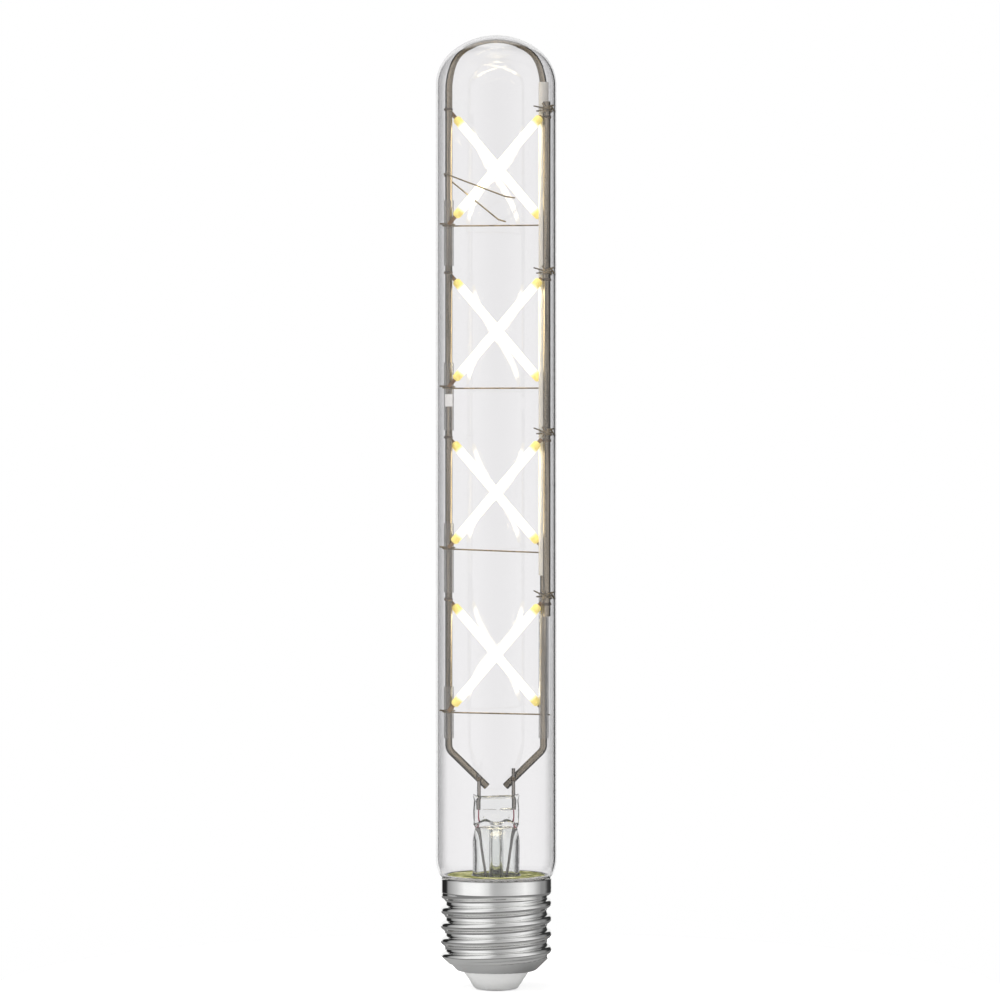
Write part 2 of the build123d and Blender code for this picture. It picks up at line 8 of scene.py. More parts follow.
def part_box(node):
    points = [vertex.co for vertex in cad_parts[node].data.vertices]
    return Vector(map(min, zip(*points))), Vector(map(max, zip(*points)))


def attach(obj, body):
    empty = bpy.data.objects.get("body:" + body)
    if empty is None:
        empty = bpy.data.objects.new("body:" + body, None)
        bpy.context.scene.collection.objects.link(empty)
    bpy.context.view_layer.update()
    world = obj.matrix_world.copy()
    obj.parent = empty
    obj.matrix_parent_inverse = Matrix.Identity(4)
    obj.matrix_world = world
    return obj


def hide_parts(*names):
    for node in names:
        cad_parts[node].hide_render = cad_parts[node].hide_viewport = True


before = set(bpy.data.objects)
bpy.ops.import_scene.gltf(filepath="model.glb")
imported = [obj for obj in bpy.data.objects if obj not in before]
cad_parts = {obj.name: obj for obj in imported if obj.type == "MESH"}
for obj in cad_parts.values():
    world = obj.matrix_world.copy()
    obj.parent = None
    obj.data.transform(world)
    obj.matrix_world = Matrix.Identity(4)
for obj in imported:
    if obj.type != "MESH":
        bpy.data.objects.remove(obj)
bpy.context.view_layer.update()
mm = 0.001


# Pressed stem: a flared glass tube whose top was pinched flat round the wires while soft.
# Clear lead-free glass, with the exhaust tube melted in below. Its rim is fused to the foot of
# the bulb, so the cement shows through its upper face; its sides are painted dark as the shade
# in the gap under the glass foot.
def new_finish(name):
    finish = bpy.data.materials.new(name)
    finish.use_nodes = True
    return finish, finish.node_tree.nodes, finish.node_tree.links


def add_node(nodes, kind, inputs=None, **settings):
    node = nodes.new(kind)
    for setting, value in settings.items():
        setattr(node, setting, value)
    for socket, value in (inputs or {}).items():
        node.inputs[socket].default_value = value
    return node


def paint_ramp(node, stops):
    ramp = node.color_ramp
    for element, (position, color) in ((ramp.elements[0], stops[0]), (ramp.elements[1], stops[-1])):
        element.position = position
        element.color = (*color, 1)
    for position, color in stops[1:-1]:
        ramp.elements.new(position).color = (*color, 1)


# Painted shade: darkens a surface's colour towards its silhouette edges, where it turns away from the view.
def paint_edge_shade(nodes, links, surface, band, strength, tone):
    facing = add_node(nodes, "ShaderNodeLayerWeight", {"Blend": 0.5})
    shade = add_node(
        nodes,
        "ShaderNodeMapRange",
        {"From Min": band[0], "From Max": band[1], "To Max": strength},
        interpolation_type="SMOOTHSTEP",
    )
    rim = add_node(nodes, "ShaderNodeMix", data_type="RGBA")
    rim.inputs["B"].default_value = (*tone, 1)
    links.new(facing.outputs["Facing"], shade.inputs["Value"])
    links.new(shade.outputs["Result"], rim.inputs["Factor"])
    links.new(rim.outputs["Result"], surface.inputs["Base Color"])
    return shade, rim


# Painted shade: the grey that glass is darkened to at its edges.
glass_edge_shade_grey = (0.1, 0.1, 0.09)


def clear_glass(name, tint, ripple_scale, ripple_depth, glass_edge_shade=0.0, glass_edge_shade_band=(0.35, 0.85)):
    material, nodes, links = new_finish(name)
    glass = nodes["Principled BSDF"]
    glass.inputs["Base Color"].default_value = (*tint, 1)
    glass.inputs["Roughness"].default_value = 0.0
    glass.inputs["IOR"].default_value = 1.5
    glass.inputs["Transmission Weight"].default_value = 1.0
    place = nodes.new("ShaderNodeTexCoord")
    ripple = add_node(nodes, "ShaderNodeTexNoise", {"Scale": ripple_scale, "Detail": 1.0})
    swell = add_node(nodes, "ShaderNodeBump", {"Distance": ripple_depth * mm})
    links.new(place.outputs["Object"], ripple.inputs["Vector"])
    links.new(ripple.outputs["Fac"], swell.inputs["Height"])
    links.new(swell.outputs["Normal"], glass.inputs["Normal"])
    # Painted shade: the glass colour darkens towards its edges.
    if glass_edge_shade:
        _, rim = paint_edge_shade(nodes, links, glass, glass_edge_shade_band, glass_edge_shade, glass_edge_shade_grey)
        rim.inputs["A"].default_value = (*tint, 1)
    clear = add_node(nodes, "ShaderNodeBsdfTransparent", {"Color": (*tint, 1)})
    rays = nodes.new("ShaderNodeLightPath")
    soft_rays = add_node(nodes, "ShaderNodeMath", operation="MAXIMUM")
    mix = nodes.new("ShaderNodeMixShader")
    links.new(rays.outputs["Is Shadow Ray"], soft_rays.inputs[0])
    links.new(rays.outputs["Is Diffuse Ray"], soft_rays.inputs[1])
    links.new(soft_rays.outputs["Value"], mix.inputs["Fac"])
    links.new(glass.outputs["BSDF"], mix.inputs[1])
    links.new(clear.outputs["BSDF"], mix.inputs[2])
    links.new(mix.outputs["Shader"], nodes["Material Output"].inputs["Surface"])
    return material


def mottled(name, tones, scale, rough, bump_depth):
    material, nodes, links = new_finish(name)
    surface = nodes["Principled BSDF"]
    surface.inputs["Roughness"].default_value = rough
    place = nodes.new("ShaderNodeTexCoord")
    blotch = add_node(nodes, "ShaderNodeTexNoise", {"Scale": scale, "Detail": 6.0, "Roughness": 0.65})
    tone = nodes.new("ShaderNodeValToRGB")
    paint_ramp(tone, tones)
    relief = add_node(nodes, "ShaderNodeBump", {"Distance": bump_depth * mm})
    links.new(place.outputs["Object"], blotch.inputs["Vector"])
    links.new(blotch.outputs["Fac"], tone.inputs["Fac"])
    links.new(blotch.outputs["Fac"], relief.inputs["Height"])
    links.new(tone.outputs["Color"], surface.inputs["Base Color"])
    links.new(relief.outputs["Normal"], surface.inputs["Normal"])
    return material


def two_tone(name, dark, light, scale, rough, bump_depth):
    return mottled(name, [(0.3, dark), (0.7, light)], scale, rough, bump_depth)


def finished_piece(bm, name, finishes, slot, *nodes, crease=40, solid=True):
    if solid:
        bmesh.ops.recalc_face_normals(bm, faces=bm.faces)
    mesh = bpy.data.meshes.new(name)
    bm.to_mesh(mesh)
    bm.free()
    mesh.shade_smooth()
    mesh.set_sharp_from_angle(angle=math.radians(crease))
    for finish in finishes:
        mesh.materials.append(finish)
    piece = bpy.data.objects.new(name, mesh)
    bpy.context.collection.objects.link(piece)
    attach(piece, "root")
    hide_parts(*nodes)
    return piece


def new_ring(grown):
    verts = [g for g in grown if isinstance(g, bmesh.types.BMVert)]
    known = set(verts)
    edges = [g for g in grown if isinstance(g, bmesh.types.BMEdge) and set(g.verts) <= known]
    return verts, edges


def join_up(bm, verts):
    for pair in zip(verts, verts[1:]):
        bm.edges.new(pair)


def spin_round(bm, steps):
    bmesh.ops.spin(
        bm,
        geom=bm.verts[:] + bm.edges[:],
        cent=(0, 0, 0),
        axis=(0, 0, 1),
        angle=math.tau,
        steps=steps,
        use_merge=True,
    )
    bmesh.ops.remove_doubles(bm, verts=bm.verts, dist=1e-7)


def turned(points, steps, closed=False):
    bm = bmesh.new()
    verts = [bm.verts.new((r * mm, 0, z * mm)) for r, z in points]
    join_up(bm, verts + verts[:1] if closed else verts)
    spin_round(bm, steps)
    return bm


rim_radius, rim_low = 11.6, 26.4
rim_limit, rim_upper, rim_inner = 26.9, 26.8, 6.5
stem_outside = [
    (11.6, 11.6, 2, 26.85),
    (5.95, 5.95, 2, 26.85),
    (5.72, 5.72, 2, 26.98),
    (5.59, 5.59, 2, 27.25),
    (5.55, 5.55, 2, 27.6),
    (5.55, 5.55, 2, 35.0),
    (5.48, 5.1, 2.1, 35.7),
    (5.3, 4.1, 2.4, 36.6),
    (5.1, 3.0, 3.0, 37.5),
    (4.95, 2.4, 4.0, 38.1),
    (5.15, 2.4, 5.0, 38.7),
    (5.4, 2.45, 6.0, 39.3),
    (5.35, 1.6, 6.0, 39.8),
    (5.3, 1.95, 6.0, 40.25),
    (5.4, 1.8, 6.0, 40.8),
    (5.45, 1.8, 6.0, 42.35),
    (5.42, 2.0, 6.0, 42.6),
    (5.38, 2.1, 6.0, 42.9),
    (5.25, 2.0, 6.0, 44.6),
    (5.36, 2.1, 6.0, 45.2),
    (5.45, 2.05, 6.0, 45.6),
    (5.42, 1.85, 6.0, 45.9),
    (5.3, 1.5, 6.0, 46.13),
    (5.1, 1.0, 6.0, 46.26),
    (4.6, 0.5, 6.0, 46.3),
    (4.2, 0.05, 6.0, 46.3),
]
pinch_middle, pinch_top, pinch_half = 42.9, 46.3, 5.45
pinch_dip, pinch_tilt = 0.9, 0.3
fold_middle, fold_reach, fold_depth, fold_waves = 39.8, 1.4, 0.5, 7
stem_inside = [
    (5.1, 5.1, 2, 26.4),
    (4.85, 4.85, 2, 26.5),
    (4.7, 4.7, 2, 26.75),
    (4.65, 4.65, 2, 27.1),
    (4.65, 4.65, 2, 35.0),
    (4.64, 3.7, 2, 36.0),
    (4.62, 2.2, 2, 37.2),
    (4.61, 1.2, 2, 38.0),
    (4.6, 0.3, 2, 38.5),
]
exhaust_line = [
    (0, 20.0),
    (0.85, 20.2),
    (1.42, 20.75),
    (1.7, 21.6),
    (1.7, 38.2),
    (1.05, 38.2),
    (1.05, 21.9),
    (0.6, 21.4),
    (0, 21.3),
]
pinch_voids = [
    ((0, -0.2, 39.3), (1.6, 1.1, 0.58)),
    ((2.4, -0.5, 42.7), (1.65, 0.5, 0.27)),
    ((-1.5, -0.5, 42.65), (1.7, 0.8, 0.13)),
]
# The stem glass is painted darker towards its edges as shade.
stem_glass = clear_glass("stem glass", (0.96, 0.97, 0.965), 260, 0.06, glass_edge_shade=0.5)
cement_tones = [(0.4, (0.1, 0.11, 0.003)), (0.5, (0.33, 0.34, 0.035)), (0.6, (0.9, 0.88, 0.5))]
cement = mottled("basing cement", cement_tones, 420, 0.7, 0.25)
# Painted shade: near black for the gap under the glass foot, where shade falls.
gap_painted_shade = two_tone("foot gap painted shade", (0.02, 0.02, 0.018), (0.07, 0.07, 0.06), 500, 0.5, 0.02)
stem_bm = bmesh.new()
turn_layer = stem_bm.verts.layers.float.new("turn")
stem_rim = bmesh.ops.create_circle(stem_bm, segments=72, radius=rim_radius * mm)["verts"]
for v in stem_rim:
    v[turn_layer] = math.atan2(v.co.y, v.co.x)
    v.co.z = rim_low * mm
rim_edges = stem_bm.edges[:]
for stations in (stem_outside, stem_inside):
    edges = rim_edges
    for half_width, half_depth, squareness, z in stations:
        verts, edges = new_ring(bmesh.ops.extrude_edge_only(stem_bm, edges=edges)["geom"])
        for v in verts:
            across, deep = math.cos(v[turn_layer]), math.sin(v[turn_layer])
            v.co.x = half_width * mm * math.copysign(abs(across) ** (2 / squareness), across)
            v.co.y = half_depth * mm * math.copysign(abs(deep) ** (2 / squareness), deep)
            out = v.co.x / (pinch_half * mm)
            dip = pinch_dip * (1 - out**4) * (1 - pinch_tilt * out)
            dip *= max(0, (z - pinch_middle) / (pinch_top - pinch_middle))
            fold = max(0, 1 - ((z - fold_middle) / fold_reach) ** 2)
            v.co.z = (z - dip - fold * fold_depth * math.cos(out * fold_waves)) * mm
    bmesh.ops.edgeloop_fill(stem_bm, edges=edges)
# The rim's top takes the cement colour, and its sides get the painted gap shade.
for face in stem_bm.faces:
    middle = face.calc_center_median()
    if middle.z < rim_limit * mm and middle.xy.length > rim_inner * mm:
        face.material_index = 1 if middle.z > rim_upper * mm else 2
exhaust_bm = turned(exhaust_line, 32)
exhaust_mesh = bpy.data.meshes.new("exhaust tube")
exhaust_bm.to_mesh(exhaust_mesh)
exhaust_bm.free()
stem_bm.from_mesh(exhaust_mesh)
bpy.data.meshes.remove(exhaust_mesh)
bmesh.ops.recalc_face_normals(stem_bm, faces=stem_bm.faces)
for centre, reach in pinch_voids:
    hollow = Matrix.LocRotScale(Vector(centre) * mm, None, Vector(reach) * mm)
    hollow_verts = bmesh.ops.create_uvsphere(
        stem_bm, u_segments=24, v_segments=16, radius=1, matrix=hollow
    )["verts"]
    bmesh.ops.reverse_faces(stem_bm, faces=list({f for v in hollow_verts for f in v.link_faces}))
stem_finishes = [stem_glass, cement, gap_painted_shade]
finished_piece(stem_bm, "stem", stem_finishes, "stem_glass", "glass_stem", crease=60, solid=False)


# Lead-in wires: on each side a nickel lead, a red copper-clad seal wire and a thin tail,
# welded end to end. The pinch holds them, and the tails slant in to the exhaust tube.
# Painted shade on wires and rods: towards their edges the colour darkens to a sixth of the dark tone.
wire_edge_shade_band, wire_edge_shade_depth = (0.0, 0.38), 6
lit_band = (-0.75, -0.4)


def metal(
    name,
    dark,
    light,
    rough,
    scale,
    stretch=(1, 1, 1),
    bump_depth=0.0,
    edge=0.0,
    drawn_out=False,
    lit_side=False,
):
    material, nodes, links = new_finish(name)
    surface = nodes["Principled BSDF"]
    surface.inputs["Metallic"].default_value = 1.0
    place = nodes.new("ShaderNodeTexCoord")
    stretched = add_node(nodes, "ShaderNodeMapping", {"Scale": stretch})
    grain = add_node(nodes, "ShaderNodeTexNoise", {"Scale": scale, "Detail": 4.0})
    tone = nodes.new("ShaderNodeValToRGB")
    paint_ramp(tone, [(0.3, dark), (0.7, light)])
    polish = add_node(nodes, "ShaderNodeMapRange", {"To Min": rough[0], "To Max": rough[1]})
    links.new(place.outputs["Object"], stretched.inputs["Vector"])
    links.new(stretched.outputs["Vector"], grain.inputs["Vector"])
    if drawn_out:
        around = add_node(nodes, "ShaderNodeAttribute", attribute_name="around")
        streak = nodes.new("ShaderNodeVectorMath")
        links.new(stretched.outputs["Vector"], streak.inputs[0])
        links.new(around.outputs["Vector"], streak.inputs[1])
        links.new(streak.outputs["Vector"], grain.inputs["Vector"])
    links.new(grain.outputs["Fac"], tone.inputs["Fac"])
    links.new(grain.outputs["Fac"], polish.inputs["Value"])
    links.new(tone.outputs["Color"], surface.inputs["Base Color"])
    links.new(polish.outputs["Result"], surface.inputs["Roughness"])
    # Painted shade: darker towards the silhouette edges.
    if edge:
        wire_edge_shade_tone = [part / wire_edge_shade_depth for part in dark]
        shade, rim = paint_edge_shade(nodes, links, surface, wire_edge_shade_band, edge, wire_edge_shade_tone)
        links.new(tone.outputs["Color"], rim.inputs["A"])
    # Painted light: on the side that faces the middle of the lamp the painted edge shade is left out.
    if edge and lit_side:
        stands = nodes.new("ShaderNodeSeparateXYZ")
        half = add_node(nodes, "ShaderNodeMath", operation="SIGN")
        shape = nodes.new("ShaderNodeNewGeometry")
        turn = nodes.new("ShaderNodeSeparateXYZ")
        outward = add_node(nodes, "ShaderNodeMath", operation="MULTIPLY")
        shaded = add_node(
            nodes,
            "ShaderNodeMapRange",
            {"From Min": lit_band[0], "From Max": lit_band[1], "To Max": edge},
            interpolation_type="SMOOTHSTEP",
        )
        links.new(place.outputs["Object"], stands.inputs["Vector"])
        links.new(stands.outputs["X"], half.inputs[0])
        links.new(shape.outputs["Normal"], turn.inputs["Vector"])
        links.new(half.outputs["Value"], outward.inputs[0])
        links.new(turn.outputs["X"], outward.inputs[1])
        links.new(outward.outputs["Value"], shaded.inputs["Value"])
        links.new(shaded.outputs["Result"], shade.inputs["To Max"])
    if bump_depth:
        relief = add_node(nodes, "ShaderNodeBump", {"Distance": bump_depth * mm})
        links.new(grain.outputs["Fac"], relief.inputs["Height"])
        links.new(relief.outputs["Normal"], surface.inputs["Normal"])
    return material


def draw_wire(bm, points, diameter, bends, sides=16, bend_steps=10):
    vectors = bm.verts.layers.float_vector
    around_layer = vectors.get("around") or vectors.new("around")
    corners = [Vector(p) * mm for p in points]
    heading = (corners[1] - corners[0]).normalized()
    stand = Matrix.Translation(corners[0]) @ heading.to_track_quat("Z", "Y").to_matrix().to_4x4()
    ring = bmesh.ops.create_circle(
        bm, cap_ends=True, segments=sides, radius=diameter / 2 * mm, matrix=stand
    )["verts"]
    for v in ring:
        v[around_layer] = stand.inverted() @ v.co
    edges = list({e for v in ring for e in v.link_edges})
    at = corners[0]
    for k in range(1, len(corners)):
        stop = corners[k]
        if k < len(corners) - 1:
            onward = (corners[k + 1] - corners[k]).normalized()
            bend = bends[k - 1] * mm
            bend_angle = heading.angle(onward)
            stop = corners[k] - heading * (bend * math.tan(bend_angle / 2))
        if (stop - at).length > 1e-7:
            verts, edges = new_ring(bmesh.ops.extrude_edge_only(bm, edges=edges)["geom"])
            bmesh.ops.translate(bm, vec=stop - at, verts=verts)
        if k < len(corners) - 1:
            axis = heading.cross(onward).normalized()
            centre = stop + axis.cross(heading) * bend
            last = bmesh.ops.spin(
                bm,
                geom=edges,
                cent=centre,
                axis=axis,
                angle=bend_angle,
                steps=bend_steps,
                use_merge=False,
            )["geom_last"]
            edges = [g for g in last if isinstance(g, bmesh.types.BMEdge)]
            at = centre + Matrix.Rotation(bend_angle, 3, axis) @ (stop - centre)
            heading = onward
    bmesh.ops.edgeloop_fill(bm, edges=edges)
    bmesh.ops.remove_doubles(bm, verts=bm.verts, dist=1e-8)


def wire_piece(name, points, diameter, bend, finish, slot, node, **shape):
    bm = bmesh.new()
    draw_wire(bm, points, diameter, [bend] * (len(points) - 2), **shape)
    return finished_piece(bm, name, [finish], slot, node)


lead_nickel = metal(
    "lead nickel",
    (0.12, 0.11, 0.1),
    (0.46, 0.42, 0.38),
    (0.12, 0.25),
    2400,
    (0, 0, 0.05),
    edge=0.9,
    drawn_out=True,
)
seal_copper = metal("seal copper", (0.3, 0.05, 0.08), (0.44, 0.1, 0.14), (0.3, 0.45), 900)
tail_metal = metal(
    "tail metal",
    (0.07, 0.065, 0.06),
    (0.36, 0.33, 0.3),
    (0.2, 0.35),
    2400,
    (0, 0, 0.05),
    edge=0.8,
    drawn_out=True,
)
lead_width, seal_width, tail_width, tail_bend = 0.84, 0.3, 0.6, 3.0
lead_spread, tail_spread = 4.07, 2.5
seal_low, seal_high = 38.4, 42.6
tail_knee, tail_low = 27.0, 17.2
for side, sign, lead_top in (("left", -1, 50.6), ("right", 1, 52.1)):
    lead_x = sign * lead_spread
    tail_x = sign * tail_spread
    lead_run = [(lead_x, 0, seal_high), (lead_x, 0, lead_top)]
    seal_run = [(lead_x, 0, seal_low), (lead_x, 0, seal_high)]
    tail_run = [(lead_x, 0, seal_low), (tail_x, 0, tail_knee), (tail_x, 0, tail_low)]
    wire_piece(f"{side}_lead", lead_run, lead_width, 0, lead_nickel, "lead_nickel", f"{side}_lead_wire")
    wire_piece(f"{side}_seal", seal_run, seal_width, 0, seal_copper, "seal_copper", f"{side}_seal_wire")
    wire_piece(f"{side}_tail", tail_run, tail_width, tail_bend, tail_metal, "tail_metal", f"{side}_tail_wire")


# Support frame: thick plated wire, one short rod on the left and one hoop that runs up the left,
# under the dome and down the right. Their arms are welded to the leads. A third rod stands beside.
# The rods' colour is painted darker towards their edges as shade, except on the side that faces
# the middle, where that painted shade is left out as light from the filaments.
rod_metal = metal(
    "rod metal",
    (0.04, 0.034, 0.024),
    (0.47, 0.4, 0.305),
    (0.14, 0.24),
    2200,
    (0, 0, 0.02),
    edge=1.0,
    drawn_out=True,
    lit_side=True,
)
weld_metal = metal("weld metal", (0.05, 0.04, 0.03), (0.22, 0.17, 0.12), (0.3, 0.5), 900, bump_depth=0.15)


def rod_piece(bm, name, node, welds):
    for centre, reach in welds:
        spot = Matrix.LocRotScale(Vector(centre) * mm, None, Vector(reach) * mm)
        verts = bmesh.ops.create_uvsphere(
            bm, u_segments=16, v_segments=10, radius=1, matrix=spot
        )["verts"]
        for face in {f for v in verts for f in v.link_faces}:
            face.material_index = 1
    finished_piece(bm, name, [rod_metal, weld_metal], "rod_metal", node)


rod_width, rod_sides, arm_bend = 1.7, 24, 2.6
frame_x = 11.2
arm_high, arm_end = 56.6, (2.2, 1.6557, 47.7)
left_rod_top, hoop_low = 137.47, 140.37
arch_height, shoulder_reach, top_slimming = 212.35, 0.66, 0.4
common_x, common_y, common_low, common_high = 11.85, -1.9442, 88.0, 209.2
cross_heights = (193.9, 155.5333, 117.1667, 78.8)
cross_shifts = (0.4, 0.3, -0.1, 0.0)
slope = math.tan(math.radians(49.6))
rising_end = 10.6373
falling_heights = [z + (frame_x + s) * slope for z, s in zip(cross_heights, cross_shifts)]
rising_heights = [z + (rising_end - s) * slope for z, s in zip(cross_heights, cross_shifts)]
band_reach, band_out, band_drop = (1.08, 1.02, 0.62), 0.1, 0.4
joint_reach, joint_y, joint_height = (0.66, 0.8, 0.85), 0.2, 49.55
left_bands = [((-frame_x - band_out, 0, z), band_reach) for z in falling_heights]
left_joint, right_joint = [((sign * lead_spread, joint_y, joint_height), joint_reach) for sign in (-1, 1)]
arm_x, arm_y, arm_low = arm_end
left_rod_run = [(-arm_x, arm_y, arm_low), (-frame_x, 0, arm_high), (-frame_x, 0, left_rod_top)]
left_rod_bm = bmesh.new()
draw_wire(left_rod_bm, left_rod_run, rod_width, [arm_bend], sides=rod_sides)
rod_piece(left_rod_bm, "left_rod", "left_support_rod", left_bands[2:] + [left_joint])
hoop_run = [
    (-frame_x, 0, hoop_low),
    (-frame_x, 0, arch_height + frame_x),
    (frame_x, 0, arch_height + frame_x),
    (frame_x, 0, arm_high),
    (arm_x, arm_y, arm_low),
]
hoop_bm = bmesh.new()
draw_wire(hoop_bm, hoop_run, rod_width, [frame_x, frame_x, arm_bend], sides=rod_sides, bend_steps=24)
arch_centre = Vector((0, 0, arch_height)) * mm
for v in hoop_bm.verts:
    if v.co.z > arch_centre.z:
        out = Vector((v.co.x, 0, v.co.z)) - arch_centre
        slim = top_slimming * (out.z / out.length) ** 2
        inside = (frame_x + rod_width / 2) * mm - out.length
        shoulder = abs(2 * out.x * out.z) / out.length_squared
        v.co += out.normalized() * (inside * slim + shoulder_reach * mm * shoulder**3)
        v.co.y *= 1 - slim
rod_piece(hoop_bm, "hoop_rod", "hoop_support_rod", left_bands[:2] + [right_joint])
common_run = [(common_x, common_y, common_low), (common_x, common_y, common_high)]
common_bm = bmesh.new()
draw_wire(common_bm, common_run, rod_width, [], sides=rod_sides)
common_bands = [((common_x, common_y, z - band_drop), band_reach) for z in rising_heights]
rod_piece(common_bm, "common", "common_rod", common_bands)


# Glass sleeves: thin drawn tubes slid over the rods where a wire must not touch them.
# The second one on the left also joins the two rods end to end. The long one on the right is
# pale and hides the rod in it.
# The sleeves get a narrow band of painted shade at their edges.
sleeve_glass = clear_glass(
    "sleeve glass", (0.97, 0.96, 0.945), 400, 0.01, glass_edge_shade=0.9, glass_edge_shade_band=(0.58, 0.8)
)
pale_sleeve = two_tone("pale sleeve", (0.82, 0.78, 0.7), (0.92, 0.89, 0.82), 300, 0.4, 0.02)
pale_sleeve.node_tree.nodes["Principled BSDF"].inputs["Transmission Weight"].default_value = 0.2
sleeve_radius, sleeve_bore = 1.18, 1.0
for node in [f"left_sleeve_{i}" for i in (1, 2, 3, 4)] + ["return_sleeve", "lower_sleeve"]:
    low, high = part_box(node)
    middle = (low[0] + high[0]) / 2
    foot, top = low[2] / mm, high[2] / mm
    wall = [(sleeve_radius, foot), (sleeve_radius, top), (sleeve_bore, top), (sleeve_bore, foot)]
    sleeve_bm = turned(wall, 32, closed=True)
    bmesh.ops.translate(sleeve_bm, vec=(middle, 0, 0), verts=sleeve_bm.verts)
    sleeve_finish = pale_sleeve if node == "return_sleeve" else sleeve_glass
    finished_piece(sleeve_bm, f"{node}_glass", [sleeve_finish], "sleeve_glass", node)


# Filaments: eight glowing bars in four crosses. Each is a metal strip with small diodes under
# a coat of yellow silicone, which shines white where the diodes are and stays yellow at the tips.
def phosphor_coat():
    material, nodes, links = new_finish("phosphor coat")
    coat = nodes["Principled BSDF"]
    coat.inputs["Roughness"].default_value = 0.45
    coat.inputs["Emission Strength"].default_value = 1.0
    shine = add_node(nodes, "ShaderNodeMix", data_type="RGBA")
    shine.inputs["A"].default_value = (0.42, 0.33, 0.07, 1)
    rays = nodes.new("ShaderNodeLightPath")
    seen = add_node(nodes, "ShaderNodeMath", operation="MAXIMUM")
    blaze = add_node(nodes, "ShaderNodeMix", data_type="RGBA")
    blaze.inputs["A"].default_value = (8.0, 7.2, 5.4, 1)
    blaze.inputs["B"].default_value = (1.5, 1.45, 1.3, 1)
    place = nodes.new("ShaderNodeTexCoord")
    speckle = add_node(nodes, "ShaderNodeTexNoise", {"Scale": 1500})
    tone = nodes.new("ShaderNodeValToRGB")
    paint_ramp(tone, [(0.0, (0.78, 0.62, 0.12)), (1.0, (0.95, 0.84, 0.34))])
    along = add_node(nodes, "ShaderNodeAttribute", attribute_name="along")
    from_middle = add_node(nodes, "ShaderNodeMath", operation="ABSOLUTE")
    glow = add_node(
        nodes,
        "ShaderNodeMapRange",
        {"From Min": 14.0, "From Max": 12.6},
        interpolation_type="SMOOTHSTEP",
    )
    links.new(place.outputs["Object"], speckle.inputs["Vector"])
    links.new(speckle.outputs["Fac"], tone.inputs["Fac"])
    links.new(tone.outputs["Color"], coat.inputs["Base Color"])
    links.new(along.outputs["Fac"], from_middle.inputs[0])
    links.new(from_middle.outputs["Value"], glow.inputs["Value"])
    links.new(glow.outputs["Result"], shine.inputs["Factor"])
    links.new(rays.outputs["Is Camera Ray"], seen.inputs[0])
    links.new(rays.outputs["Is Transmission Ray"], seen.inputs[1])
    links.new(seen.outputs["Value"], blaze.inputs["Factor"])
    links.new(blaze.outputs["Result"], shine.inputs["B"])
    links.new(shine.outputs["Result"], coat.inputs["Emission Color"])
    return material


def round_edges(bm, edges, offset, segments):
    bmesh.ops.bevel(
        bm,
        geom=edges,
        offset=offset * mm,
        offset_type="OFFSET",
        affect="EDGES",
        segments=segments,
        profile=0.5,
        material=-1,
    )


phosphor = phosphor_coat()
strip_metal = metal("strip metal", (0.2, 0.11, 0.05), (0.4, 0.26, 0.14), (0.3, 0.5), 900)
coat_length, coat_width, coat_round = 31.0, 2.0, 0.75
falling_end, falling_left_y, falling_right_y, rising_left_y = 11.6, 0.97, 1.88, -1.68
left_tie_heights = [z - (frame_x + s) * slope for z, s in zip(cross_heights, cross_shifts)]
right_tab_heights = [z - (falling_end - s) * slope for z, s in zip(cross_heights, cross_shifts)]
for i, shift in enumerate(cross_shifts):
    falling = (
        Vector((-frame_x, falling_left_y, falling_heights[i])),
        Vector((falling_end, falling_right_y, right_tab_heights[i])),
    )
    rising = (
        Vector((-frame_x, rising_left_y, left_tie_heights[i])),
        Vector((rising_end, common_y, rising_heights[i])),
    )
    for letter, (left_end, right_end) in zip("ab", (falling, rising)):
        run = right_end - left_end
        crossing = left_end + run * ((frame_x + shift) / run.x)
        bm = bmesh.new()
        bmesh.ops.create_cone(
            bm,
            cap_ends=True,
            segments=24,
            radius1=coat_width / 2 * mm,
            radius2=coat_width / 2 * mm,
            depth=coat_length * mm,
        )
        end_edges = [e for e in bm.edges if abs(e.verts[0].co.z - e.verts[1].co.z) < 1e-6]
        round_edges(bm, end_edges, coat_round, 5)
        along_layer = bm.verts.layers.float.new("along")
        for v in bm.verts:
            v[along_layer] = v.co.z / mm
        lie = Matrix.Translation(crossing * mm) @ run.to_track_quat("Z", "Y").to_matrix().to_4x4()
        bmesh.ops.transform(bm, matrix=lie, verts=bm.verts)
        mark = f"{i + 1}{letter}"
        finished_piece(bm, f"coat_{mark}", [phosphor], "phosphor", f"phosphor_{mark}", crease=60)
        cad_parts[f"strip_{mark}"].material_slots[0].material = strip_metal


